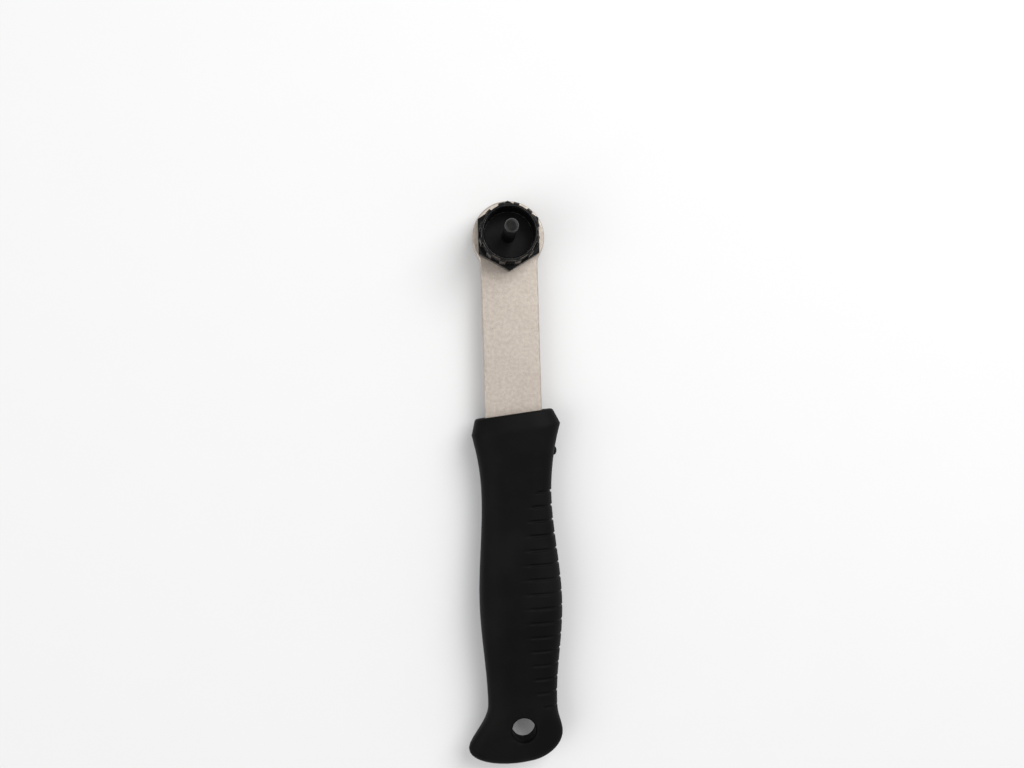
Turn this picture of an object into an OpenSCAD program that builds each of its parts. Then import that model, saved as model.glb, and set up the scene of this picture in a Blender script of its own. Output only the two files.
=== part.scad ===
// Cassette lockring tool: a splined socket with a guide pin, carried by a flat
// steel bar with a moulded grip.
// Millimetres. The origin is on the socket's axis, in the plane of the bar's
// front face. The guide pin points to +Z and the grip lies along -Y.

/* [Bar] */
// Width of the bar
bar_w = 22.7; // [18:0.1:25]
// Thickness of the bar
bar_t = 5; // [4:0.1:7]
// Diameter of the round head
head_d = 28.8; // [28:0.1:34]
// Radius of the hollows where the bar meets the head
neck_r = 7; // [3:0.5:10]
// Broken edge all round the bar
edge_break = 0.4; // [0.2:0.1:0.8]
// Socket axis to the end face of the grip
bar_free = 70.4; // [50:0.5:110]

/* [Tang] */
// How far the bar keeps its full width inside the grip
shoulder_depth = 14; // [10:0.5:20]
// Width of the tang past the shoulders
tang_w = 16; // [12:0.5:18]
// How far the tang reaches into the grip
tang_depth = 102; // [96:1:110]
// Diameter of the holes that lock the moulding to the tang
lock_hole_d = 7; // [4:0.5:9]
// Number of the locking holes
lock_holes = 3; // [1:1:3]
// End face of the grip to the first locking hole
lock_hole_first = 32; // [24:1:34]
// End of the tang to the last locking hole
lock_hole_end = 14; // [8:1:20]

/* [Socket] */
// Hexagon flange on the bar, across its flats
flange_af = 24; // [21.5:0.1:24]
// Height of the flange above the bar
flange_h = 4.5; // [3:0.1:8]
// Diameter of the turned bevel where it meets the top of the flange
flange_top_d = 24.6; // [24:0.1:27]
// Diameter over the tips of the spline teeth
spline_tip_d = 23.6; // [23:0.1:23.9]
// Diameter at the roots of the spline teeth
spline_root_d = 21.9; // [21:0.1:22.5]
// Number of spline teeth
spline_teeth = 12; // [6:1:14]
// Width of one spline tooth
spline_tooth_w = 2.3; // [1.5:0.1:3]
// Height of the spline ring above the flange
spline_h = 9; // [6:0.5:14]
// Lead bevel on the outer edge of the spline ring
spline_lead = 0.4; // [0.2:0.1:0.8]
// Bore of the spline ring
socket_bore_d = 19.6; // [18:0.1:19.8]
// Floor of the bore above the bar's front face
bore_floor = 1.5; // [1:0.1:2.8]
// Bevel at the mouth of the bore
mouth_bevel = 0.5; // [0.2:0.1:0.6]
// Hexagon shank in the bar, across its flats
shank_af = 20; // [19:0.1:21]
// How far the round end behind the bar stays inside the shank's flats
spigot_step = 0.1; // [0.1:0.05:0.4]
// Length of the round end
spigot_h = 2.9; // [2.4:0.1:5]
// Bevel on the round end
spigot_bevel = 0.4; // [0.2:0.1:0.8]

/* [Guide pin] */
// Diameter of the guide pin
pin_d = 5.2; // [4.6:0.1:8]
// Height of the guide pin above the bar
pin_reach = 31; // [20:0.5:60]
// Diameter of its foot, which is fixed in the socket
pin_foot_d = 4.2; // [3:0.1:4.4]
// Rounding of its tip
pin_tip_r = 1.2; // [0.5:0.1:1.8]
// Bevel on its lower end
pin_foot_bevel = 0.3; // [0.1:0.1:0.6]

/* [Retaining ring] */
// Thickness of the retaining ring
ring_t = 1.2; // [0.8:0.1:1.4]
// Depth of its groove in the round end
ring_groove_depth = 0.4; // [0.3:0.05:0.8]
// Width of the ring opposite its gap
ring_back_w = 2.6; // [2:0.1:3]
// Width of the ring next to its lugs
ring_end_w = 1.6; // [1.2:0.1:2]
// Radius of each lug
lug_r = 1.9; // [1.6:0.1:2]
// Diameter of the plier hole in each lug
lug_hole_d = 2; // [1.2:0.1:2.4]
// Gap between the two lugs
lug_gap = 2; // [1:0.1:4]

/* [Grip stations] */
// End face of the grip to the ridge of the collar
ridge_at = 6.3; // [4:0.1:10]
// End face to the narrow neck
neck_at = 33; // [28:0.5:40]
// End face to the fullest part of the belly
belly_at = 75; // [60:0.5:85]
// End face to the waist
waist_at = 115; // [105:0.5:120]
// End face to the widest part of the pommel
pommel_at = 129.8; // [126:0.1:145]
// Length of the rounded end past the pommel's widest part
butt_len = 9.4; // [5:0.1:16]
// How late the pommel swings out past the waist, where 1 is halfway
pommel_lag = 1.35; // [1:0.05:1.5]
// Slant of the end face and the collar
collar_slant = 6.5; // [0:0.5:10]
// Slant of the pommel
pommel_slant = 8.4; // [0:0.2:12]

/* [Grip left side] */
// Socket axis line to the left side at the end face
face_left = 15.1; // [13.5:0.1:18]
// The same at the ridge of the collar
ridge_left = 16.8; // [15:0.1:20]
// The same at the neck
neck_left = 13.8; // [13:0.1:17]
// The same at the belly
belly_left = 15.9; // [13:0.1:20]
// The same at the waist
waist_left = 13.7; // [12:0.1:18]
// The same at the pommel
pommel_left = 21.9; // [14:0.1:26]

/* [Grip right side] */
// Socket axis line to the right side at the end face
face_right = 15.6; // [13.5:0.1:18]
// The same at the ridge of the collar
ridge_right = 18.6; // [15:0.1:20]
// The same at the neck
neck_right = 14.2; // [13:0.1:17]
// The same at the belly
belly_right = 17.2; // [13:0.1:20]
// The same at the waist
waist_right = 14; // [12:0.1:18]
// The same at the pommel
pommel_right = 15.9; // [14:0.1:26]
// Where the end of the pommel lies across the axis line
butt_x = 3; // [-4:0.5:4]

/* [Grip thickness] */
// Thickness at the end face
face_thick = 15; // [13:0.1:20]
// Thickness at the ridge of the collar
ridge_thick = 17.6; // [14:0.1:22]
// Thickness at the neck
neck_thick = 16; // [14:0.1:20]
// Thickness at the belly
belly_thick = 19.6; // [15:0.1:24]
// Thickness at the waist
waist_thick = 13.2; // [12:0.1:20]
// Thickness at the pommel
pommel_thick = 9.4; // [8:0.1:20]
// Squareness of the grip's section, where 2 is an ellipse
section_power = 2.8; // [2:0.1:3.4]
// Share of the grip's width that is flat on both broad faces
flat_share = 0.4; // [0:0.05:0.6]
// The same squareness for the side view of the rounded end
butt_power = 3; // [2:0.1:3.4]
// Rounding between the end face and the sides
face_round = 0.8; // [0.6:0.1:2]

/* [Grip details] */
// Number of grip grooves
grooves = 16; // [4:1:16]
// Distance from one groove to the next
groove_pitch = 5.65; // [4:0.05:5.8]
// End face to the first groove
groove_first = 30.6; // [20:0.1:32]
// Width of one groove
groove_w = 1.4; // [0.8:0.1:2]
// Depth of one groove
groove_depth = 0.5; // [0.2:0.05:0.8]
// Axis line to the ends of the grooves halfway along the grip
groove_reach_mid = 3.3; // [2:0.1:8]
// Axis line to the ends of the first and the last groove
groove_reach_end = 8.5; // [8:0.1:10]
// Diameter of the hanging hole
hang_d = 9.3; // [5:0.1:11]
// End face to the hanging hole
hang_at = 125.6; // [121:0.1:128]
// Axis line to the middle of the hanging hole
hang_x = 0.2; // [-3:0.1:3]
// Rounding of the lips of the hanging hole
hang_lip = 1.8; // [0.6:0.1:2]
// Radius of the moulding nub on the right side
nub_r = 1.3; // [0.8:0.1:2]
// How far the nub stands out
nub_proud = 0.7; // [0.3:0.1:0.8]
// End face to the nub
nub_at = 15.1; // [10:0.1:20]

/* [Fits] */
// Gap all round the shank in the bar
shank_gap = 0.05; // [0.02:0.01:0.15]
// Gap all round the pin in the socket
pin_gap = 0.02; // [0.01:0.01:0.1]
// Gap round and beside the retaining ring in its groove
ring_gap = 0.05; // [0.02:0.01:0.1]

/* [Hidden] */

$fn = 96;
// Overshoot of a cut past the face that it opens
past = 1;
hexagon = 6;

steel = [0.76, 0.72, 0.68];
black_oxide = [0.12, 0.12, 0.13];
dark_steel = [0.3, 0.3, 0.31];
spring_steel = [0.35, 0.34, 0.33];
black_rubber = [0.1, 0.1, 0.1];

bar_mid = -bar_t / 2;
head_r = head_d / 2;
hollow_x = bar_w / 2 + neck_r;
hollow_y = -sqrt(pow(head_r + neck_r, 2) - pow(hollow_x, 2));
lock_hole_pitch = (tang_depth - lock_hole_end - lock_hole_first) / max(1, lock_holes - 1);

rim_z = flange_h + spline_h;
flange_bevel_angle = 30;
spigot_r = shank_af / 2 - spigot_step;
groove_r = spigot_r - ring_groove_depth;
ring_slot = ring_t + 2 * ring_gap;
socket_foot = -bar_t - spigot_h;

// Two rings to each side of a groove's middle: its rim and its floor
groove_floor = 0.25;
// Rings of the grip's mesh, between its stations, and steps of its roundings
collar_rings = 3;
shoulder_rings = 8;
heel_rings = 5;
butt_step = 12;
face_step = 30;
lip_step = 18;
// Points of one ring over the grooved side and over the plain side
grooved_points = 18;
plain_points = 18;
// Turn of a ring's angle over which a groove runs out
runout = 3;

// A section is drawn this much thicker, then cut off flat at its true thickness
swell = 1 / pow(1 - pow(flat_share, section_power), 1 / section_power);

function mix(a, b, u) = a + (b - a) * u;
function eased(u) = u * u * (3 - 2 * u);
function settled(u) = 1 - (1 - u) * (1 - u);
function part_of(s, from, to) = min(1, max(0, (s - from) / (to - from)));

// Size at the distance s from the end face, led through the six stations
function along(s, face, ridge, neck, belly, waist, pommel) =
    s < ridge_at ? mix(face, ridge, part_of(s, 0, ridge_at))
    : s < neck_at ? mix(ridge, neck, settled(part_of(s, ridge_at, neck_at)))
    : s < belly_at ? mix(neck, belly, eased(part_of(s, neck_at, belly_at)))
    : s < waist_at ? mix(belly, waist, eased(part_of(s, belly_at, waist_at)))
    : mix(waist, pommel, eased(pow(part_of(s, waist_at, pommel_at), pommel_lag)));

function left_at(s) =
    along(s, face_left, ridge_left, neck_left, belly_left, waist_left, pommel_left);
function right_at(s) =
    along(s, face_right, ridge_right, neck_right, belly_right, waist_right, pommel_right);
function thick_at(s) =
    along(s, face_thick, ridge_thick, neck_thick, belly_thick, waist_thick, pommel_thick);

// Tangent of the slant of the ring at s
function slant_at(s) =
    s < neck_at ? tan(collar_slant) * (1 - eased(part_of(s, ridge_at, neck_at)))
    : tan(pommel_slant) * eased(part_of(s, waist_at, pommel_at));

// How far across the grooves reach at s: their ends lie on an arc
groove_last = groove_first + (grooves - 1) * groove_pitch;
function groove_end_x(s) =
    let (u = 2 * part_of(s, groove_first, groove_last) - 1)
    groove_reach_end - (groove_reach_end - groove_reach_mid) * sqrt(1 - u * u);

// A ring is its distance, its inset, the depth of its groove and how far it is round the butt
function ring(s, inset = 0, cut = 0, round_butt = 0) = [s, inset, cut, round_butt];

face_ring_list = [
    for (a = [0:face_step:90 - face_step])
        ring(face_round * (1 - cos(a)), face_round * (1 - sin(a)))
];
collar_ring_list = [
    for (k = [0:collar_rings]) ring(mix(face_round, ridge_at, k / collar_rings))
];
shoulder_ring_list = [
    for (k = [1:shoulder_rings])
        ring(mix(ridge_at, groove_first - groove_pitch / 2, k / shoulder_rings))
];
groove_ring_list = [
    for (k = [0:grooves - 1], r = [
            [-groove_w / 2, 0],
            [-groove_w * groove_floor, groove_depth],
            [groove_w * groove_floor, groove_depth],
            [groove_w / 2, 0],
            [groove_pitch / 2, 0]
        ])
        ring(groove_first + k * groove_pitch + r[0], cut = r[1])
];
heel_ring_list = [
    for (k = [1:heel_rings])
        ring(mix(groove_last + groove_pitch / 2, pommel_at, k / heel_rings))
];
butt_ring_list = [
    for (a = [butt_step:butt_step:90 - butt_step / 2])
        ring(pommel_at + butt_len * sin(a), round_butt = a)
];
grip_rings = concat(
    face_ring_list, collar_ring_list, shoulder_ring_list,
    groove_ring_list, heel_ring_list, butt_ring_list
);
ring_points = grooved_points + plain_points;

// Angles round a ring: the grooved side first, then the plain side
function ring_angles(edge) = concat(
    [-edge],
    [for (k = [0:grooved_points - 2]) mix(runout - edge, edge - runout, k / (grooved_points - 2))],
    [edge],
    [for (k = [1:plain_points - 1]) mix(edge, 360 - edge, k / plain_points)]
);

function bulge(v) = sign(v) * pow(abs(v), 2 / section_power);
function flattened(t, v) = max(-t, min(t, t * swell * bulge(v)));

function ring_outline(r) =
    let (
        s = r[0],
        narrow = cos(r[3]),
        thin = pow(1 - pow(sin(r[3]), butt_power), 1 / butt_power),
        half_w = (left_at(s) + right_at(s)) / 2 - r[1],
        half_t = thick_at(s) / 2 - r[1],
        mid_x = mix((right_at(s) - left_at(s)) / 2, butt_x, 1 - narrow),
        reach = max(0, (groove_end_x(s) - mid_x) / half_w),
        edge = acos(pow(reach, section_power / 2)),
        angles = ring_angles(edge)
    )
    [
        for (k = [0:ring_points - 1])
            let (
                cut = k > 0 && k < grooved_points ? r[2] : 0,
                x = mid_x + (half_w * narrow - cut) * bulge(cos(angles[k])),
                z = bar_mid + flattened(half_t * thin - cut, sin(angles[k]))
            )
            [x, -bar_free - s + x * slant_at(s), z]
    ];

// Square strip along -Y with all four long edges broken
module strip(width, from, to) {
    half_w = width / 2;
    half_t = bar_t / 2;
    b = edge_break;
    translate([0, from, bar_mid])
        rotate([90, 0, 0])
            linear_extrude(from - to)
                polygon([
                    [-half_w, -half_t + b], [-half_w + b, -half_t],
                    [half_w - b, -half_t], [half_w, -half_t + b],
                    [half_w, half_t - b], [half_w - b, half_t],
                    [-half_w + b, half_t], [-half_w, half_t - b]
                ]);
}

module head_disc() {
    rotate_extrude()
        polygon([
            [0, -bar_t], [head_r - edge_break, -bar_t], [head_r, -bar_t + edge_break],
            [head_r, -edge_break], [head_r - edge_break, 0], [0, 0]
        ]);
}

// Cutter of a hollow: a drum that flares at both faces of the bar
module hollow_cutter() {
    flare_r = neck_r + edge_break + past;
    rotate_extrude()
        polygon([
            [0, -bar_t - past], [flare_r, -bar_t - past], [neck_r, -bar_t + edge_break],
            [neck_r, -edge_break], [flare_r, past], [0, past]
        ]);
}

// Material between the head and one side of the bar, with its hollow cut out
module hollow() {
    difference() {
        translate([0, 0, -bar_t])
            linear_extrude(bar_t)
                polygon([[0, 0], [hollow_x, hollow_y], [0, hollow_y]]);
        translate([hollow_x, hollow_y, 0])
            hollow_cutter();
    }
}

// The straight part of the bar, with the tang that the grip is moulded round
module blade() {
    difference() {
        union() {
            strip(bar_w, 0, -bar_free - shoulder_depth);
            strip(tang_w, -bar_free, -bar_free - tang_depth);
        }
        for (k = [0:lock_holes - 1])
            translate([0, -bar_free - lock_hole_first - k * lock_hole_pitch, -bar_t - past])
                cylinder(d = lock_hole_d, h = bar_t + 2 * past);
    }
}

module hex_prism(af, h) {
    rotate([0, 0, 30])
        cylinder(r = af / sqrt(3), h = h, $fn = hexagon);
}

module bar() {
    color(steel)
        difference() {
            union() {
                head_disc();
                hollow();
                mirror([1, 0, 0])
                    hollow();
                blade();
            }
            translate([0, 0, -bar_t - past])
                hex_prism(shank_af + 2 * shank_gap, bar_t + 2 * past);
        }
}

module socket_flange() {
    corner_r = flange_af / sqrt(3);
    drop = (corner_r + past - flange_top_d / 2) * tan(flange_bevel_angle);
    intersection() {
        hex_prism(flange_af, flange_h);
        rotate_extrude()
            polygon([
                [0, 0], [corner_r + past, 0], [corner_r + past, flange_h - drop],
                [flange_top_d / 2, flange_h], [0, flange_h]
            ]);
    }
}

module spline_outline() {
    intersection() {
        circle(d = spline_tip_d);
        union() {
            circle(d = spline_root_d);
            for (k = [0:spline_teeth - 1])
                rotate([0, 0, (k + 0.5) * 360 / spline_teeth])
                    translate([0, -spline_tooth_w / 2])
                        square([spline_tip_d, spline_tooth_w]);
        }
    }
}

module spline_ring() {
    tip_r = spline_tip_d / 2;
    intersection() {
        linear_extrude(rim_z)
            spline_outline();
        rotate_extrude()
            polygon([
                [0, 0], [tip_r + past, 0], [tip_r + past, rim_z - spline_lead - past],
                [tip_r - spline_lead, rim_z], [0, rim_z]
            ]);
    }
}

module socket_bore() {
    bore_r = socket_bore_d / 2;
    rotate_extrude()
        polygon([
            [0, bore_floor], [bore_r, bore_floor], [bore_r, rim_z - mouth_bevel],
            [bore_r + mouth_bevel + past, rim_z + past], [0, rim_z + past]
        ]);
}

module socket_spigot() {
    rotate_extrude()
        polygon([
            [0, socket_foot], [spigot_r - spigot_bevel, socket_foot],
            [spigot_r, socket_foot + spigot_bevel], [spigot_r, -bar_t - ring_slot],
            [groove_r, -bar_t - ring_slot], [groove_r, 0], [0, 0]
        ]);
}

module lockring_socket() {
    color(black_oxide)
        difference() {
            union() {
                socket_flange();
                spline_ring();
                translate([0, 0, -bar_t])
                    hex_prism(shank_af, bar_t);
                socket_spigot();
            }
            socket_bore();
            translate([0, 0, socket_foot - past])
                cylinder(d = pin_foot_d + 2 * pin_gap, h = bore_floor - socket_foot + 2 * past);
        }
}

// Stepped pin: its shoulder stands on the floor of the socket's bore
module guide_pin() {
    pin_r = pin_d / 2;
    foot_r = pin_foot_d / 2;
    color(dark_steel)
        rotate_extrude() {
            polygon([
                [0, socket_foot], [foot_r - pin_foot_bevel, socket_foot],
                [foot_r, socket_foot + pin_foot_bevel], [foot_r, bore_floor],
                [pin_r, bore_floor], [pin_r, pin_reach - pin_tip_r],
                [pin_r - pin_tip_r, pin_reach - pin_tip_r], [pin_r - pin_tip_r, pin_reach],
                [0, pin_reach]
            ]);
            intersection() {
                translate([pin_r - pin_tip_r, pin_reach - pin_tip_r])
                    circle(r = pin_tip_r);
                translate([pin_r - pin_tip_r, pin_reach - pin_tip_r])
                    square(pin_tip_r);
            }
        }
}

module retaining_ring() {
    inner_r = groove_r + ring_gap;
    outer_r = inner_r + (ring_back_w + ring_end_w) / 2;
    lug_x = lug_gap / 2 + lug_r;
    lug_y = -sqrt(pow(outer_r, 2) - pow(lug_x, 2));
    color(spring_steel)
        translate([0, 0, -bar_t - ring_gap - ring_t])
            linear_extrude(ring_t)
                difference() {
                    union() {
                        translate([0, (ring_back_w - ring_end_w) / 2])
                            circle(r = outer_r);
                        for (side = [-1, 1])
                            translate([side * lug_x, lug_y])
                                circle(r = lug_r);
                    }
                    circle(r = inner_r);
                    translate([-lug_gap / 2, -2 * outer_r])
                        square([lug_gap, 2 * outer_r]);
                    for (side = [-1, 1])
                        translate([side * lug_x, lug_y])
                            circle(d = lug_hole_d);
                }
}

// Skin of the grip: rings of points joined by triangles
module grip_body() {
    n = ring_points;
    last = len(grip_rings) - 1;
    sides = [
        for (r = [0:last - 1], k = [0:n - 1])
            let (a = r * n + k, b = r * n + (k + 1) % n)
            each [[a, a + n, b + n], [a, b + n, b]]
    ];
    polyhedron(
        points = [for (r = grip_rings) each ring_outline(r)],
        faces = concat(
            [[for (k = [0:n - 1]) k]],
            sides,
            [[for (k = [n - 1:-1:0]) last * n + k]]
        )
    );
}

// Cutter of the hanging hole: a straight bore with a rounded lip at each face
module hang_cutter() {
    bore_r = hang_d / 2;
    top = thick_at(hang_at) / 2;
    lip = [for (a = [0:lip_step:90]) [hang_lip * (1 - cos(a)), hang_lip * sin(a)]];
    upper = [for (p = lip) [bore_r + p[0], top - hang_lip + p[1]]];
    lower = [for (k = [len(upper) - 1:-1:0]) [upper[k][0], -upper[k][1]]];
    mouth = bore_r + hang_lip;
    translate([hang_x, -bar_free - hang_at, bar_mid])
        rotate_extrude()
            polygon(concat(
                [[0, -top - past], [mouth, -top - past]], lower, upper,
                [[mouth, top + past], [0, top + past]]
            ));
}

module grip() {
    color(black_rubber)
        difference() {
            union() {
                grip_body();
                translate([right_at(nub_at) + nub_proud - nub_r, -bar_free - nub_at, bar_mid])
                    sphere(r = nub_r);
            }
            blade();
            hang_cutter();
        }
}

bar();
lockring_socket();
guide_pin();
retaining_ring();
grip();
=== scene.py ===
"""Looks of a cassette lockring tool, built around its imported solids."""

import logging
import math
from dataclasses import dataclass, field
from enum import Enum
from typing import Any, Callable

import bmesh
import bpy
from mathutils import Matrix, Vector


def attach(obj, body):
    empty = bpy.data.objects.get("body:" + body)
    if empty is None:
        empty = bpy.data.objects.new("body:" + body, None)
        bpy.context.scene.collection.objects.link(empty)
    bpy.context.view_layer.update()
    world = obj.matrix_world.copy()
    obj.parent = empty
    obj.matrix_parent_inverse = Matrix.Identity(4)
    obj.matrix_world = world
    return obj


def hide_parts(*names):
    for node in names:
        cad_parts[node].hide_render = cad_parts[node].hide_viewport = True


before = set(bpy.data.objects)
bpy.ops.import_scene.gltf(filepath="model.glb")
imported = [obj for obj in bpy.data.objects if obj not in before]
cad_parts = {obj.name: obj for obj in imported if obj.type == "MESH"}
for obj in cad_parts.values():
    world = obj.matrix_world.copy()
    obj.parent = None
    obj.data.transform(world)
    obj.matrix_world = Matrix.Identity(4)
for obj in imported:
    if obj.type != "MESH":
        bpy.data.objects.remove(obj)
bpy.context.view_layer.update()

LOG = logging.getLogger("lockring_tool")
MM = 0.001
BODY = "root"
IMAGE_WIDTH = 1024
SENSOR_MM = 36.0
LAG_POWER = 1.35
Point = tuple[float, float, float]
Colour = tuple[float, float, float]


class Signal:
    """A number that changes over a surface. Arithmetic on it adds Math nodes."""

    def __init__(self, recipe: "Recipe", socket: bpy.types.NodeSocket) -> None:
        """Wraps one output socket.

        Args:
            recipe: The recipe whose node tree the socket is in.
            socket: The output that gives the number.
        """
        self.recipe = recipe
        self.socket = socket

    def _math(self, operation: str, first: Any, second: Any) -> "Signal":
        """Adds one Math node.

        Args:
            operation: Blender's name of the operation.
            first: The upper operand, a Signal or a number.
            second: The lower operand, a Signal or a number.

        Returns:
            The result.
        """
        node = self.recipe.node("ShaderNodeMath", {"operation": operation}, {0: first, 1: second})
        return Signal(self.recipe, node.outputs[0])

    def __add__(self, other: Any) -> "Signal":
        """This plus other."""
        return self._math("ADD", self, other)

    def __radd__(self, other: Any) -> "Signal":
        """Other plus this."""
        return self._math("ADD", other, self)

    def __sub__(self, other: Any) -> "Signal":
        """This less other."""
        return self._math("SUBTRACT", self, other)

    def __rsub__(self, other: Any) -> "Signal":
        """Other less this."""
        return self._math("SUBTRACT", other, self)

    def __mul__(self, other: Any) -> "Signal":
        """This times other."""
        return self._math("MULTIPLY", self, other)

    def __rmul__(self, other: Any) -> "Signal":
        """Other times this."""
        return self._math("MULTIPLY", other, self)

    def __abs__(self) -> "Signal":
        """This without its sign."""
        return self._math("ABSOLUTE", self, 0.0)

    def span(self, low: float, high: float) -> "Signal":
        """Stretches low to high over 0 to 1 and clamps what lies past them.

        Args:
            low: The value that becomes 0.
            high: The value that becomes 1.

        Returns:
            The stretched value.
        """
        settings = {"clamp": True, "interpolation_type": "SMOOTHSTEP"}
        inputs = {0: self, 1: low, 2: high, 3: 0.0, 4: 1.0}
        node = self.recipe.node("ShaderNodeMapRange", settings, inputs)
        return Signal(self.recipe, node.outputs[0])


class Recipe:
    """One node material, built from few kinds of step."""

    def __init__(self, name: str) -> None:
        """Starts an empty material.

        Args:
            name: The material's name.
        """
        self.material = bpy.data.materials.new(name)
        self.material.use_nodes = True
        self.tree = self.material.node_tree
        self.tree.nodes.clear()
        self.place = self.node("ShaderNodeTexCoord").outputs["Object"]

    def node(
        self, kind: str, settings: dict[str, Any] | None = None, inputs: dict[Any, Any] | None = None
    ) -> bpy.types.Node:
        """Adds one node.

        Args:
            kind: The node's type.
            settings: Its properties, which are set first.
            inputs: What its sockets get, by name or number: a Signal, an output socket or a value.

        Returns:
            The new node.
        """
        made = self.tree.nodes.new(kind)
        for key, value in (settings or {}).items():
            setattr(made, key, value)
        for key, value in (inputs or {}).items():
            source = value.socket if isinstance(value, Signal) else value
            if isinstance(source, bpy.types.NodeSocket):
                self.tree.links.new(source, made.inputs[key])
            else:
                made.inputs[key].default_value = source
        return made

    def noise(self, scale: float, detail: float) -> Signal:
        """Fractal noise on the piece.

        Args:
            scale: Features per metre.
            detail: Octaves of the noise.

        Returns:
            The noise, about 0 to 1.
        """
        inputs = {"Vector": self.place, "Scale": scale, "Detail": detail}
        return Signal(self, self.node("ShaderNodeTexNoise", None, inputs).outputs[0])

    def axis(self, letter: str) -> Signal:
        """One coordinate of the surface, in metres.

        Args:
            letter: X, Y or Z.

        Returns:
            The coordinate.
        """
        split = self.node("ShaderNodeSeparateXYZ", None, {0: self.place})
        return Signal(self, split.outputs[letter])

    def blend(
        self, factor: Signal, low: Colour | bpy.types.NodeSocket, high: Colour
    ) -> bpy.types.NodeSocket:
        """Mixes two colours.

        Args:
            factor: 0 for the first colour and 1 for the second.
            low: The first colour.
            high: The second colour.

        Returns:
            The mixed colour.
        """
        first = low if isinstance(low, bpy.types.NodeSocket) else (*low, 1.0)
        inputs = {0: factor, 6: first, 7: (*high, 1.0)}
        return self.node("ShaderNodeMix", {"data_type": "RGBA", "clamp_factor": True}, inputs).outputs[2]

    def bump(
        self, height: Signal, depth: float, under: bpy.types.NodeSocket | None = None
    ) -> bpy.types.NodeSocket:
        """Roughens the surface.

        Args:
            height: The relief, about 0 to 1.
            depth: What 1 stands for, in metres.
            under: The normal of a coarser relief below this one.

        Returns:
            The new normal.
        """
        inputs: dict[str, Any] = {"Height": height, "Distance": depth, "Strength": 1.0}
        if under is not None:
            inputs["Normal"] = under
        return self.node("ShaderNodeBump", None, inputs).outputs[0]

    def done(self, **sockets: Any) -> bpy.types.Material:
        """Ends the material with its surface shader.

        Args:
            **sockets: The shader's inputs, with _ for a space in their names.

        Returns:
            The finished material.
        """
        inputs = {name.replace("_", " "): value for name, value in sockets.items()}
        shader = self.node("ShaderNodeBsdfPrincipled", None, inputs)
        self.node("ShaderNodeOutputMaterial", None, {"Surface": shader.outputs[0]})
        return self.material


@dataclass(frozen=True)
class BlastedPlate:
    """Plated steel with a fine blasted grain, as on the bar.

    Attributes:
        light: The colour of the grain's tops.
        dark: The colour between them.
        fleck: The colour of the few small pits.
        grain_scale: Grains a metre.
        mottle_scale: Mottles a metre.
        cloud_scale: Clouds a metre.
        pit_scale: Possible pits a metre, of which few are deep enough to show.
        grain_mm: Depth of the grain, in millimetres.
        metal: How metallic the finish is.
    """

    light: Colour = (0.605, 0.54, 0.478)
    dark: Colour = (0.465, 0.405, 0.35)
    fleck: Colour = (0.22, 0.195, 0.17)
    grain_scale: float = 2200.0
    mottle_scale: float = 700.0
    cloud_scale: float = 90.0
    pit_scale: float = 900.0
    grain_mm: float = 0.02
    metal: float = 0.85

    def material(self) -> bpy.types.Material:
        """The finish as a material."""
        recipe = Recipe("blasted_plate")
        grain = recipe.noise(self.grain_scale, 4.0)
        mottle = recipe.noise(self.mottle_scale, 3.0)
        cloud = recipe.noise(self.cloud_scale, 3.0)
        pits = recipe.noise(self.pit_scale, 2.0).span(0.70, 0.76)
        tone = (grain * 0.4 + mottle * 0.45 + cloud * 0.15).span(0.32, 0.68)
        colour = recipe.blend(tone, self.dark, self.light)
        colour = recipe.blend(pits * 0.7, colour, self.fleck)
        return recipe.done(
            Base_Color=colour,
            Metallic=self.metal,
            Roughness=grain * 0.16 + mottle * 0.08 + 0.34,
            Normal=recipe.bump(grain - pits * 0.5, self.grain_mm * MM),
        )


@dataclass(frozen=True)
class BlackOxide:
    """Blackened machined steel with a light oil sheen.

    Attributes:
        name: The material's name.
        deep: The colour of the thick oxide.
        thin: The colour where the oxide is thin.
        rough: The lowest roughness.
        painted_light_z: Heights of a band of painted highlight round the top, which stands for light
            falling on it, in millimetres: its start, where it is full, where it starts to fade and its
            end.
        painted_light: The colour of the band of painted highlight.
        fade: How much of the painted highlight is lost at its end.
        cloud_scale: Clouds in the oxide a metre.
        grain_scale: Grains a metre.
        grain_mm: Depth of the grain, in millimetres.
        metal: How metallic the finish is.
        shine: Strength of its mirror light.
    """

    name: str
    deep: Colour = (0.0022, 0.0022, 0.0023)
    thin: Colour = (0.0065, 0.0062, 0.0060)
    rough: float = 0.25
    painted_light_z: tuple[float, float, float, float] | None = None
    painted_light: Colour = (0.05, 0.0485, 0.047)
    fade: float = 0.85
    cloud_scale: float = 260.0
    grain_scale: float = 3800.0
    grain_mm: float = 0.012
    metal: float = 0.25
    shine: float = 0.2

    def material(self) -> bpy.types.Material:
        """The finish as a material."""
        recipe = Recipe(self.name)
        cloud = recipe.noise(self.cloud_scale, 4.0)
        grain = recipe.noise(self.grain_scale, 3.0)
        colour = recipe.blend(cloud.span(0.38, 0.7), self.deep, self.thin)
        if self.painted_light_z is not None:
            # Painted highlight: a lighter band round the top, where light falls on it.
            start, full, fading, end = (z * MM for z in self.painted_light_z)
            height = recipe.axis("Z")
            band = height.span(start, full) * (1.0 - height.span(fading, end) * self.fade)
            colour = recipe.blend(band * (cloud * 0.6 + 0.4), colour, self.painted_light)
        return recipe.done(
            Base_Color=colour,
            Metallic=self.metal,
            Roughness=cloud * 0.12 + grain * 0.08 + self.rough,
            Normal=recipe.bump(grain, self.grain_mm * MM),
            Specular_IOR_Level=self.shine,
        )


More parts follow.
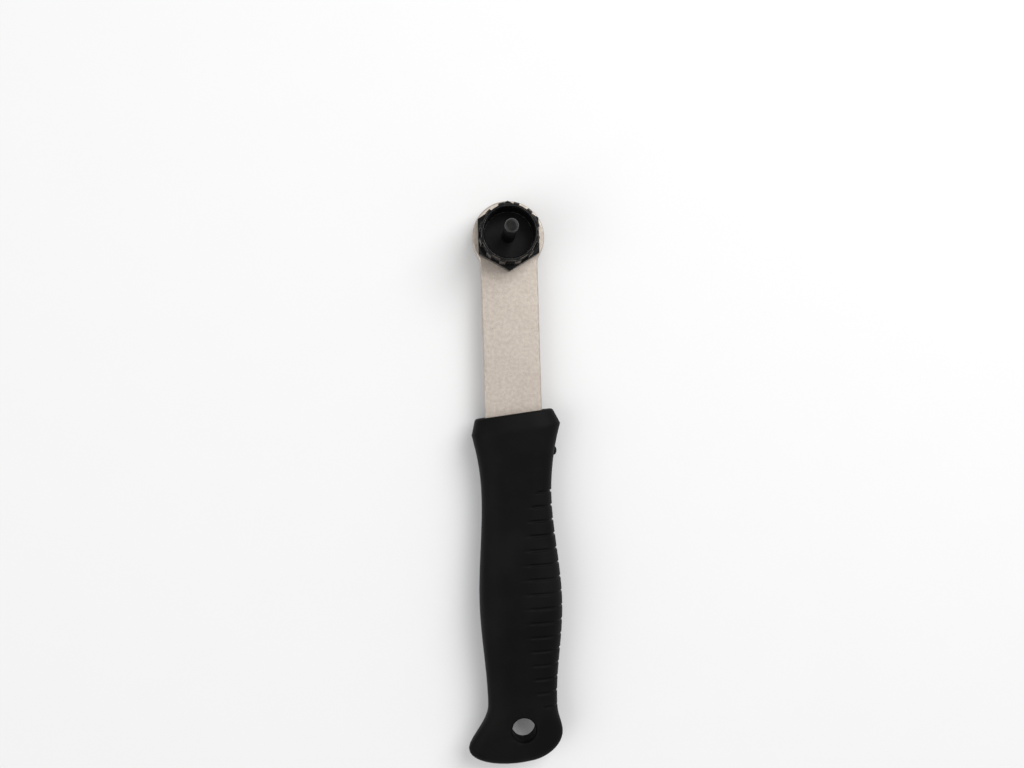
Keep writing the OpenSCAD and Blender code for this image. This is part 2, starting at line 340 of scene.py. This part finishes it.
@dataclass(frozen=True)
class EdgeWearAndPaintedLight:
    """Edges in a tone of their own that paints light along them, worn bare in patches.

    The tone is a painted highlight where it is lighter than the piece and painted shade where it
    is darker. Handling has polished the finish away in the patches.

    Attributes:
        name: The material's name.
        painted_edge_tone: The colour where the finish is left, which paints light along the edge: a
        highlight where it is lighter than the piece, shade where it is darker.
        bare: The colour where it is rubbed off.
        patchy: Noise level above which the edge is bare.
        patch_scale: Bare patches a metre.
        grain_scale: Grains a metre.
        grain_mm: Depth of the grain, in millimetres.
    """

    name: str
    painted_edge_tone: Colour
    bare: Colour
    patchy: float = 0.5
    patch_scale: float = 420.0
    grain_scale: float = 3000.0
    grain_mm: float = 0.01

    def material(self) -> bpy.types.Material:
        """The finish as a material."""
        recipe = Recipe(self.name)
        # The edge's tone is painted light: highlights on the black pieces, shade on the bar. The noise
        # patches are wear.
        wear = recipe.noise(self.patch_scale, 4.0).span(self.patchy - 0.08, self.patchy + 0.1)
        return recipe.done(
            Base_Color=recipe.blend(wear, self.painted_edge_tone, self.bare),
            Metallic=wear * 0.5 + 0.35,
            Roughness=0.44 - wear * 0.12,
            Normal=recipe.bump(recipe.noise(self.grain_scale, 3.0), self.grain_mm * MM),
        )


@dataclass(frozen=True)
class MouldedRubber:
    """Matte black moulding with a spark-eroded grain and a parting line.

    Attributes:
        parting_z: Height of the mould's parting plane, in metres.
        deep: The colour of the clean rubber.
        dusty: The colour where it has greyed a little.
        cloud_scale: Clouds a metre.
        grain_scale: Grains a metre.
        grain_mm: Depth of the grain, in millimetres.
        parting_mm: How far the parting line stands out, in millimetres.
        parting_edge: Where the parting line starts to fall off and ends, in millimetres.
        shine: Strength of its mirror light.
    """

    parting_z: float
    deep: Colour = (0.0022, 0.0022, 0.0023)
    dusty: Colour = (0.0044, 0.0044, 0.0043)
    cloud_scale: float = 55.0
    grain_scale: float = 3200.0
    grain_mm: float = 0.035
    parting_mm: float = 0.05
    parting_edge: tuple[float, float] = (0.05, 0.22)
    shine: float = 0.08

    def material(self) -> bpy.types.Material:
        """The finish as a material."""
        recipe = Recipe("moulded_rubber")
        cloud = recipe.noise(self.cloud_scale, 3.0)
        grain = recipe.noise(self.grain_scale, 3.0)
        off_parting = abs(recipe.axis("Z") - self.parting_z)
        falls, ends = self.parting_edge
        line = 1.0 - off_parting.span(falls * MM, ends * MM)
        coarse = recipe.bump(line, self.parting_mm * MM)
        return recipe.done(
            Base_Color=recipe.blend(cloud.span(0.35, 0.7), self.deep, self.dusty),
            Roughness=cloud * 0.14 + grain * 0.12 + 0.42,
            Normal=recipe.bump(grain, self.grain_mm * MM, coarse),
            Specular_IOR_Level=self.shine,
        )


class Workbench:
    """Modelling steps that more than one piece takes.

    Attributes:
        MERGE_MM: Points of a solid's copy that lie closer than this become one.
        FLAT_DEG: Faces that meet flatter than this become one.
    """

    MERGE_MM = 0.0005
    FLAT_DEG = 0.4

    @staticmethod
    def clear_selection() -> None:
        """Leaves edit mode and selects nothing."""
        if bpy.context.mode != "OBJECT":
            bpy.ops.object.mode_set(mode="OBJECT")
        bpy.ops.object.select_all(action="DESELECT")

    @classmethod
    def pick(cls, piece: bpy.types.Object) -> None:
        """Selects one object alone and makes it active.

        Args:
            piece: The object.
        """
        cls.clear_selection()
        piece.select_set(True)
        bpy.context.view_layer.objects.active = piece

    @classmethod
    def edit_all(cls, piece: bpy.types.Object) -> None:
        """Opens one object in edit mode with all its mesh selected.

        Args:
            piece: The object.
        """
        cls.pick(piece)
        bpy.ops.object.mode_set(mode="EDIT")
        bpy.ops.mesh.select_all(action="SELECT")

    @classmethod
    def copy_node(cls, node: str, name: str) -> bpy.types.Object:
        """Copies a solid and joins its loose triangles.

        Args:
            node: The solid's name.
            name: The copy's name.

        Returns:
            The copy.
        """
        cls.pick(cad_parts[node])
        bpy.ops.object.duplicate()
        piece = bpy.context.view_layer.objects.active
        piece.name = name
        piece.data.name = name
        piece.data.materials.clear()
        cls.edit_all(piece)
        bpy.ops.mesh.remove_doubles(threshold=cls.MERGE_MM * MM)
        bpy.ops.mesh.dissolve_limited(angle_limit=math.radians(cls.FLAT_DEG))
        bpy.ops.object.mode_set(mode="OBJECT")
        return piece

    @classmethod
    def modify(cls, piece: bpy.types.Object, kind: str, **settings: Any) -> None:
        """Adds a modifier and applies it.

        Args:
            piece: The object.
            kind: The modifier's type.
            **settings: The modifier's properties.
        """
        cls.pick(piece)
        modifier = piece.modifiers.new(kind.lower(), kind)
        for key, value in settings.items():
            setattr(modifier, key, value)
        bpy.ops.object.modifier_apply(modifier=modifier.name)

    @classmethod
    def cut(cls, piece: bpy.types.Object, tool: bpy.types.Object, operation: str = "DIFFERENCE") -> None:
        """Cuts one closed mesh by another, or joins them, and deletes the second.

        Args:
            piece: The mesh that stays.
            tool: The mesh that goes.
            operation: DIFFERENCE or UNION.
        """
        cls.modify(piece, "BOOLEAN", object=tool, operation=operation, solver="EXACT")
        bpy.data.objects.remove(tool, do_unlink=True)

    @classmethod
    def smooth(cls, piece: bpy.types.Object, angle: float) -> None:
        """Shades a piece smooth across edges flatter than an angle.

        Args:
            piece: The object.
            angle: The angle, in degrees.
        """
        cls.pick(piece)
        bpy.ops.object.shade_smooth_by_angle(angle=math.radians(angle))

    @classmethod
    def loft(cls, name: str, rings: list[list[Point]]) -> bpy.types.Object:
        """Draws a closed skin out of a filled circle, one extrusion for each ring.

        Args:
            name: The new object's name.
            rings: The points of each ring, in metres. All rings have as many.

        Returns:
            The new object.
        """
        cls.clear_selection()
        bpy.ops.mesh.primitive_circle_add(vertices=len(rings[0]), radius=1.0, fill_type="NGON")
        piece = bpy.context.view_layer.objects.active
        piece.name = name
        piece.data.name = name
        bpy.ops.object.mode_set(mode="EDIT")
        bpy.ops.mesh.select_all(action="SELECT")
        for number, ring in enumerate(rings):
            if number:
                bpy.ops.mesh.extrude_region_move()
            mesh = bmesh.from_edit_mesh(piece.data)
            chosen = [v for v in mesh.verts if v.select]
            for vertex, point in zip(chosen, ring, strict=True):
                vertex.co = point
            bmesh.update_edit_mesh(piece.data)
        bpy.ops.mesh.select_all(action="SELECT")
        bpy.ops.mesh.normals_make_consistent(inside=False)
        bpy.ops.object.mode_set(mode="OBJECT")
        return piece

    @classmethod
    def lathe(
        cls, name: str, centre: Point, profile: list[tuple[float, float]], columns: int
    ) -> bpy.types.Object:
        """Turns a closed solid about a line along Z.

        Args:
            name: The new object's name.
            centre: A point on the line, in metres.
            profile: Radius and height of each ring, in metres.
            columns: The number of points round it.

        Returns:
            The new object.
        """
        turns = [math.tau * k / columns for k in range(columns)]
        rings = [
            [(centre[0] + r * math.cos(a), centre[1] + r * math.sin(a), centre[2] + z) for a in turns]
            for r, z in profile
        ]
        return cls.loft(name, rings)


@dataclass
class MachinedPiece:
    """A steel piece: the solid's own form with its sharp edges broken.

    Attributes:
        node: The solid that it stands for.
        name: The piece's name.
        slot: A name for its material slot. It is not used.
        finish: What gives its material.
        edge: What gives the material of its broken edges.
        edge_mm: Width of the broken edges.
        sharp_deg: Edges sharper than this are broken.
        edge_rows: Rows of faces across a broken edge.
        piece: The finished object, once it is built.
    """

    node: str
    name: str
    slot: str
    finish: BlastedPlate | BlackOxide
    edge: EdgeWearAndPaintedLight
    edge_mm: float
    sharp_deg: float = 32.0
    edge_rows: int = 2
    piece: bpy.types.Object | None = field(default=None, init=False)

    def build(self) -> bpy.types.Object:
        """Copies the solid and breaks its edges.

        Returns:
            The finished object.
        """
        self.piece = Workbench.copy_node(self.node, self.name)
        for finish in (self.finish, self.edge):
            self.piece.data.materials.append(finish.material())
        Workbench.modify(
            self.piece, "BEVEL", width=self.edge_mm * MM, segments=self.edge_rows, material=1,
            limit_method="ANGLE", angle_limit=math.radians(self.sharp_deg),
            use_clamp_overlap=True, miter_outer="MITER_ARC",
        )
        Workbench.smooth(self.piece, self.sharp_deg)
        Workbench.modify(self.piece, "WEIGHTED_NORMAL", keep_sharp=True, weight=100)
        return self.piece

    def dress(self) -> None:
        """Gives the piece its place on the part."""
        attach(self.piece, BODY)
        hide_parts(self.node)


class Lead(Enum):
    """How a size goes from one station of the grip to the next.

    Attributes:
        STRAIGHT: Evenly.
        SETTLED: Fast at first, and level at the end.
        EASED: Level at both ends.
        LAGGING: As EASED, but later.
    """

    STRAIGHT = "straight"
    SETTLED = "settled"
    EASED = "eased"
    LAGGING = "lagging"

    def share(self, u: float) -> float:
        """How far the size has gone.

        Args:
            u: How far along the way between the stations, 0 to 1.

        Returns:
            The share of the change, 0 to 1.
        """
        u = min(1.0, max(0.0, u))
        if self is Lead.SETTLED:
            return 1 - (1 - u) ** 2
        if self is Lead.LAGGING:
            u = u ** LAG_POWER
        if self in (Lead.EASED, Lead.LAGGING):
            return u * u * (3 - 2 * u)
        return u


@dataclass(frozen=True)
class Station:
    """One section of the grip, in millimetres.

    Attributes:
        at: Distance from the grip's end face.
        left: Axis line to the left side.
        right: Axis line to the right side.
        thick: Thickness.
        lead: How the sizes go on to the next station.
    """

    at: float
    left: float
    right: float
    thick: float
    lead: Lead = Lead.EASED


@dataclass
class GripMoulding:
    """The moulded grip: a skin led through stations, grooved on its right side.

    All sizes are in millimetres, and distances run from the grip's end face.

    Attributes:
        name: The piece's name.
        start: Distance from the socket's axis to the end face.
        middle_z: Height of the grip's middle plane.
        face: The section at the end face.
        ridge: The collar's widest section.
        neck: The narrowest section behind the collar.
        belly: The thickest section.
        waist: The narrow section before the pommel.
        pommel: The widest section of the hook.
        butt_len: Length of the rounded butt.
        butt_x: Where the butt's tip lies across the grip.
        collar_slant: Slant of the end face and the collar, in degrees.
        pommel_slant: Slant of the pommel, in degrees.
        power: Power of the sections' outline; 2 gives an ellipse.
        butt_power: Power of the butt's rounding seen from the side.
        flat_share: Share of the width that is flat on both broad faces.
        face_round: Radius round the end face.
        groove_first: Distance of the first groove.
        groove_pitch: Distance between two grooves.
        grooves: The number of grooves.
        groove_w: Width of a groove.
        groove_depth: Depth of a groove.
        reach_mid: How near the middle groove comes to the axis line.
        reach_end: How near the first and last grooves come to it.
        runout: Angle over which a groove runs out at its ends, in degrees.
        grooved_columns: Faces round the grooved side.
        plain_columns: Faces round the plain side.
        hang_d: Diameter of the hanging hole.
        hang_at: Distance of the hanging hole.
        hang_x: Where the hanging hole lies across the grip.
        hang_lip: Radius of the hole's flare.
        hang_flare: Angle over which the flare turns, in degrees.
        nub_r: Radius of the nub.
        nub_long: How much longer than wide the nub is.
        nub_proud: How far the nub stands out.
        nub_at: Distance of the nub.
        smooth_deg: Edges flatter than this are shaded smooth.
        rounding_deg: Where the rings lie round the end face's edge, in degrees.
        butt_deg: Where the rings lie round the butt, in degrees.
        collar_rings: Rings between the end face and the collar's ridge.
        shoulder_rings: Rings between the ridge and the first groove.
        rings_a_groove: Rings over the width of a groove.
        heel_rings: Rings between the last groove and the pommel.
        hole_columns: Faces round the hanging hole.
        flare_step: Angle between two rows of the flare, in degrees.
        flare_runout: How far past the flare its straight rows end.
        nub_columns: Faces round the nub.
        nub_deg: Where the nub's rings lie, in degrees.
        piece: The finished object, once it is built.
    """

    name: str = "grip_moulding"
    start: float = 70.4
    middle_z: float = -2.5
    face: Station = Station(0.0, 15.5, 15.6, 15.0, Lead.STRAIGHT)
    ridge: Station = Station(6.3, 17.0, 18.6, 17.6, Lead.SETTLED)
    neck: Station = Station(33.0, 13.8, 14.2, 16.0)
    belly: Station = Station(75.0, 15.9, 17.2, 19.6)
    waist: Station = Station(115.0, 13.7, 14.0, 13.2, Lead.LAGGING)
    pommel: Station = Station(129.8, 21.9, 15.9, 9.4)
    butt_len: float = 9.4
    butt_x: float = 3.0
    collar_slant: float = 6.5
    pommel_slant: float = 8.4
    power: float = 2.8
    butt_power: float = 3.0
    flat_share: float = 0.4
    face_round: float = 0.8
    groove_first: float = 31.12
    groove_pitch: float = 5.69
    grooves: int = 16
    groove_w: float = 1.4
    groove_depth: float = 0.5
    reach_mid: float = 3.3
    reach_end: float = 8.5
    runout: float = 3.0
    grooved_columns: int = 32
    plain_columns: int = 32
    hang_d: float = 9.3
    hang_at: float = 125.6
    hang_x: float = 0.2
    hang_lip: float = 1.8
    hang_flare: int = 70
    nub_r: float = 1.3
    nub_long: float = 1.5
    nub_proud: float = 0.7
    nub_at: float = 15.1
    smooth_deg: float = 38.0
    rounding_deg: tuple[int, ...] = (75, 60, 45, 30, 15, 0)
    butt_deg: tuple[int, ...] = (0, 8, 16, 24, 32, 40, 48, 56, 63, 70, 76, 81, 85, 88)
    collar_rings: int = 6
    shoulder_rings: int = 20
    rings_a_groove: int = 6
    heel_rings: int = 16
    hole_columns: int = 72
    flare_step: int = 7
    flare_runout: tuple[float, ...] = (0.6, 1.2, 2.4, 4.8)
    nub_columns: int = 28
    nub_deg: range = range(-84, 85, 12)
    piece: bpy.types.Object | None = field(default=None, init=False)

    def stations(self) -> list[Station]:
        """The sections from the end face to the pommel."""
        return [self.face, self.ridge, self.neck, self.belly, self.waist, self.pommel]

    def size_at(self, s: float, read: Callable[[Station], float]) -> float:
        """A size of the grip at one distance.

        Args:
            s: Distance from the end face.
            read: Picks the size from a station.

        Returns:
            The size.
        """
        stops = self.stations()
        for here, there in zip(stops, stops[1:]):
            if s < there.at:
                share = here.lead.share((s - here.at) / (there.at - here.at))
                return read(here) + (read(there) - read(here)) * share
        return read(stops[-1])

    def slant_at(self, s: float) -> float:
        """Tangent of the slant of the ring at s."""
        collar = 1 - Lead.EASED.share((s - self.ridge.at) / (self.neck.at - self.ridge.at))
        pommel = Lead.EASED.share((s - self.waist.at) / (self.pommel.at - self.waist.at))
        collar_part = math.tan(math.radians(self.collar_slant)) * collar
        return collar_part + math.tan(math.radians(self.pommel_slant)) * pommel

    def groove_at(self, s: float) -> float:
        """Depth of the grooves at s."""
        number = round((s - self.groove_first) / self.groove_pitch)
        number = min(self.grooves - 1, max(0, number))
        off = abs(s - self.groove_first - number * self.groove_pitch)
        return self.groove_depth * Lead.EASED.share((self.groove_w / 2 - off) / (self.groove_w / 4))

    def groove_end_x(self, s: float) -> float:
        """How far from the axis line the grooves end at s."""
        length = (self.grooves - 1) * self.groove_pitch
        u = min(1.0, max(-1.0, 2 * (s - self.groove_first) / length - 1))
        return self.reach_end - (self.reach_end - self.reach_mid) * math.sqrt(1 - u * u)

    def ring(self, s: float, inset: float = 0.0, butt: float = 0.0) -> list[Point]:
        """The outline of one ring.

        Args:
            s: Distance from the end face.
            inset: How much smaller the ring is all round.
            butt: How far the ring is round the butt, in radians.

        Returns:
            The ring's points, in metres.
        """
        left = self.size_at(s, lambda station: station.left)
        right = self.size_at(s, lambda station: station.right)
        thick = self.size_at(s, lambda station: station.thick)
        narrow = math.cos(butt)
        thin = (1 - math.sin(butt) ** self.butt_power) ** (1 / self.butt_power)
        half_w = (left + right) / 2 - inset
        half_t = thick / 2 - inset
        middle = (right - left) / 2 * narrow + self.butt_x * (1 - narrow)
        reach = max(0.0, (self.groove_end_x(s) - middle) / half_w)
        edge = math.degrees(math.acos(reach ** (self.power / 2)))
        swell = (1 - self.flat_share ** self.power) ** (-1 / self.power)
        inner = self.grooved_columns - 2
        angles = [-edge]
        angles += [self.runout - edge + 2 * (edge - self.runout) * k / inner for k in range(inner + 1)]
        angles += [edge]
        angles += [edge + (360 - 2 * edge) * k / self.plain_columns for k in range(1, self.plain_columns)]
        points = []
        for number, angle in enumerate(angles):
            cut = self.groove_at(s) if 0 < number < self.grooved_columns else 0.0
            c, d = math.cos(math.radians(angle)), math.sin(math.radians(angle))
            x = middle + (half_w * narrow - cut) * math.copysign(abs(c) ** (2 / self.power), c)
            tall = half_t * thin - cut
            z = min(tall, tall * swell * abs(d) ** (2 / self.power)) * math.copysign(1.0, d)
            y = x * self.slant_at(s) - self.start - s
            points.append((x * MM, y * MM, (self.middle_z + z) * MM))
        return points

    def rings(self) -> list[list[Point]]:
        """All the rings of the skin, from the end face to the tip of the butt.

        Returns:
            The points of each ring, in metres.
        """
        rounding = [
            self.ring(self.face_round * (1 - math.sin(a)), self.face_round * (1 - math.cos(a)))
            for a in (math.radians(degrees) for degrees in self.rounding_deg)
        ]
        first = self.groove_first - self.groove_w
        last = self.groove_first + (self.grooves - 1) * self.groove_pitch + self.groove_w
        runs = (
            (self.face_round, self.ridge.at, self.collar_rings),
            (self.ridge.at, first, self.shoulder_rings),
            (first, last, round((last - first) / self.groove_w * self.rings_a_groove)),
            (last, self.pommel.at, self.heel_rings),
        )
        sides = [
            self.ring(low + (high - low) * k / count)
            for low, high, count in runs
            for k in range(count)
        ]
        around = [math.radians(degrees) for degrees in self.butt_deg]
        butt = [self.ring(self.pommel.at + self.butt_len * math.sin(a), butt=a) for a in around]
        return rounding + sides + butt

    def build(self) -> bpy.types.Object:
        """Draws the skin, adds the nub, and cuts the hanging hole and the tang's space.

        Returns:
            The finished object.
        """
        self.piece = Workbench.loft(self.name, self.rings())
        Workbench.cut(self.piece, self.nub(), "UNION")
        Workbench.cut(self.piece, self.hole_cutter())
        Workbench.cut(self.piece, Workbench.copy_node("bar", "tang_space"))
        Workbench.smooth(self.piece, self.smooth_deg)
        return self.piece

    def nub(self) -> bpy.types.Object:
        """The little nub on the right side, left by the mould.

        Returns:
            A ball drawn out along the grip.
        """
        x = self.size_at(self.nub_at, lambda station: station.right) + self.nub_proud - self.nub_r
        centre = (x * MM, -(self.start + self.nub_at) * MM, self.middle_z * MM)
        angles = [math.radians(degrees) for degrees in self.nub_deg]
        profile = [(self.nub_r * math.cos(a) * MM, self.nub_r * math.sin(a) * MM) for a in angles]
        ball = Workbench.lathe("nub", centre, profile, self.nub_columns)
        Workbench.edit_all(ball)
        bpy.ops.transform.resize(value=(1, self.nub_long, 1), center_override=centre)
        bpy.ops.object.mode_set(mode="OBJECT")
        return ball

    def hole_cutter(self) -> bpy.types.Object:
        """A drum with flared ends, the shape of the hanging hole.

        The flare stops short of a quarter circle. It goes on straight from there, so it also runs
        out softly on the side where the pommel grows thicker.

        Returns:
            The closed drum.
        """
        top = self.size_at(self.hang_at, lambda station: station.thick) / 2
        radius, lip = self.hang_d / 2, self.hang_lip
        angles = [math.radians(degrees) for degrees in range(0, self.hang_flare + 1, self.flare_step)]
        upper = [(radius + lip * (1 - math.cos(a)), top - lip * (1 - math.sin(a))) for a in angles]
        (r, z), slope = upper[-1], 1 / math.tan(angles[-1])
        upper += [(r + out, z + out * slope) for out in self.flare_runout]
        profile = [(r * MM, -z * MM) for r, z in reversed(upper)] + [(r * MM, z * MM) for r, z in upper]
        centre = (self.hang_x * MM, -(self.start + self.hang_at) * MM, self.middle_z * MM)
        return Workbench.lathe("hole_cutter", centre, profile, self.hole_columns)

    def dress(self) -> None:
        """Gives the grip its material and its place on the part."""
        self.piece.data.materials.append(MouldedRubber(self.middle_z * MM).material())
        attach(self.piece, BODY)
        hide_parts("grip")


@dataclass(frozen=True)
class Lamp:
    """One square lamp.

    Attributes:
        name: The lamp's name.
        place: Where it hangs, in metres.
        size: Its side, in metres.
        power: Its power, in watts.
    """

    name: str
    place: Point
    size: float
    power: float


@dataclass
class Studio:
    """Floor, light and camera.

    Attributes:
        floor_colour: The floor's colour.
        floor_mottle: What the floor's faint clouds keep of its brightness.
        floor_rough: The floor's roughness.
        floor_shine: Strength of its mirror light.
        floor_side: The floor's side, in metres.
        balance_y: Where the part balances along Y, in millimetres.
        slope_step: Step between the floor slopes that are tried.
        slope_steps: The number of slopes tried to either side of level.
        lamps: A large soft lamp from the upper right and a weaker one opposite.
        lit: The point that the lamps are aimed at, in metres.
        room: Strength of the pale world.
        camera_at: Where the camera is, in millimetres.
        aim_at: What it looks at, in millimetres.
        roll_deg: How far it is turned about its line of sight.
        focal_px: Its focal length, in pixels of the picture.
        clip: The nearest and farthest distance that it sees, in metres.
    """

    floor_colour: Colour = (0.84, 0.84, 0.84)
    floor_mottle: float = 0.985
    floor_rough: float = 0.85
    floor_shine: float = 0.2
    floor_side: float = 6.0
    balance_y: float = -76.3
    slope_step: float = 0.0002
    slope_steps: int = 500
    lamps: tuple[Lamp, ...] = (
        Lamp("key", (0.55, 0.45, 0.9), 0.8, 9.0),
        Lamp("fill", (-0.8, -0.3, 0.9), 0.9, 4.0),
    )
    lit: Point = (0.0, -0.1, 0.0)
    room: float = 0.55
    camera_at: Point = (-19.4, -57.9, 400.0)
    aim_at: Point = (-0.3, -58.5, 0.0)
    roll_deg: float = 1.78
    focal_px: float = 1006.0
    clip: tuple[float, float] = (0.01, 20.0)

    def build(self) -> None:
        """Sets up everything round the part."""
        self.floor()
        for lamp in self.lamps:
            self.hang(lamp)
        self.world()
        self.camera()

    def floor(self) -> None:
        """A pale floor that touches the part from below, as it comes to rest on it."""
        height, slope = self.rest()
        Workbench.clear_selection()
        place, turn = (0, self.balance_y * MM, height), (math.atan(slope), 0, 0)
        bpy.ops.mesh.primitive_plane_add(size=self.floor_side, location=place, rotation=turn)
        plane = bpy.context.view_layer.objects.active
        plane.name = "floor"
        recipe = Recipe("floor_paper")
        mottle = recipe.noise(40.0, 3.0)
        darker = tuple(c * self.floor_mottle for c in self.floor_colour)
        colour = recipe.blend(mottle, self.floor_colour, darker)
        paper = recipe.done(
            Base_Color=colour, Roughness=self.floor_rough, Specular_IOR_Level=self.floor_shine
        )
        plane.data.materials.append(paper)

    def rest(self) -> tuple[float, float]:
        """Finds where the part lies: on its lowest points to both sides of its balance.

        Returns:
            The floor's height under the balance point, in metres, and its rise along Y.
        """
        lowest: dict[int, tuple[float, float]] = {}
        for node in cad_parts.values():
            for vertex in node.data.vertices:
                strip = round(vertex.co.y / MM)
                lowest[strip] = min(lowest.get(strip, (1.0, 0.0)), (vertex.co.z, vertex.co.y))

        def clear(rise: float) -> float:
            """Height under the balance point of a floor that rises so."""
            return min(z - rise * (y - self.balance_y * MM) for z, y in lowest.values())

        steps = range(-self.slope_steps, self.slope_steps + 1)
        slope = max((k * self.slope_step for k in steps), key=clear)
        return clear(slope), slope

    def world(self) -> None:
        """Surrounds the part with an even pale room."""
        world = bpy.data.worlds.new("pale_room")
        bpy.context.scene.world = world
        world.use_nodes = True
        background = world.node_tree.nodes["Background"]
        background.inputs["Color"].default_value = (1.0, 1.0, 1.0, 1.0)
        background.inputs["Strength"].default_value = self.room

    def hang(self, lamp: Lamp) -> None:
        """Adds one lamp aimed at the part.

        Args:
            lamp: The lamp's sizes.
        """
        Workbench.clear_selection()
        bpy.ops.object.light_add(type="AREA", location=lamp.place)
        made = bpy.context.view_layer.objects.active
        made.name = lamp.name
        made.data.size = lamp.size
        made.data.energy = lamp.power
        aim = Vector(self.lit) - Vector(lamp.place)
        made.rotation_mode = "QUATERNION"
        made.rotation_quaternion = aim.to_track_quat("-Z", "Y")

    def camera(self) -> None:
        """Looks down on the part from the photograph's place."""
        data = bpy.data.cameras.new("camera")
        made = bpy.data.objects.new("camera", data)
        bpy.context.scene.collection.objects.link(made)
        data.sensor_width = SENSOR_MM
        data.lens = SENSOR_MM * self.focal_px / IMAGE_WIDTH
        data.clip_start, data.clip_end = self.clip
        place, aim = Vector(self.camera_at) * MM, Vector(self.aim_at) * MM
        back = (place - aim).normalized()
        roll = math.radians(self.roll_deg)
        up = Vector((math.sin(roll), math.cos(roll), 0.0))
        right = up.cross(back).normalized()
        up = back.cross(right)
        turn = Matrix((right, up, back)).transposed()
        made.matrix_world = Matrix.Translation(place) @ turn.to_4x4()
        bpy.context.scene.camera = made


def main() -> None:
    """Builds the part's pieces in order, then the studio round them."""
    bpy.context.scene.view_settings.view_transform = "Standard"
    pieces = [
        MachinedPiece(
            "bar", "tool_bar", "bar_steel", BlastedPlate(),
            # The bar's edges are darker than its plate: painted shade along them, with lighter worn
            # patches.
            EdgeWearAndPaintedLight("bar_edge", (0.40, 0.355, 0.31), (0.54, 0.485, 0.43)), 0.12,
        ),
        MachinedPiece(
            "lockring_socket", "spline_socket", "socket_black", BlackOxide("socket_oxide"),
            # The socket's edges are lighter than its oxide: painted highlights along them, with worn
            # patches.
            EdgeWearAndPaintedLight("socket_edge", (0.022, 0.021, 0.021), (0.16, 0.15, 0.145)), 0.14,
        ),
        MachinedPiece(
            "guide_pin", "axle_guide_pin", "pin_steel",
            BlackOxide(
                "pin_oxide", (0.003, 0.003, 0.003), (0.009, 0.009, 0.0088),
                # Painted highlight round the pin's tip, where light from above falls on its chamfer.
                painted_light_z=(28.4, 30.2, 30.7, 31.0),
            ),
            # The pin's edges are lighter than its oxide: painted highlights along them, with worn
            # patches.
            EdgeWearAndPaintedLight("pin_edge", (0.03, 0.029, 0.028), (0.1, 0.097, 0.094)), 0.08,
        ),
        MachinedPiece(
            "retaining_ring", "snap_ring", "spring_steel",
            BlackOxide("spring_oxide", (0.03, 0.028, 0.026), (0.06, 0.055, 0.05)),
            EdgeWearAndPaintedLight("spring_edge", (0.05, 0.048, 0.045), (0.12, 0.11, 0.10)), 0.06,
        ),
        GripMoulding(),
    ]
    for item in pieces:
        piece = item.build()
        LOG.info("%s: %d faces", piece.name, len(piece.data.polygons))
    for item in pieces:
        item.dress()
    Studio().build()


if __name__ == "__main__":
    logging.basicConfig(level=logging.INFO, format="%(message)s")
    main()
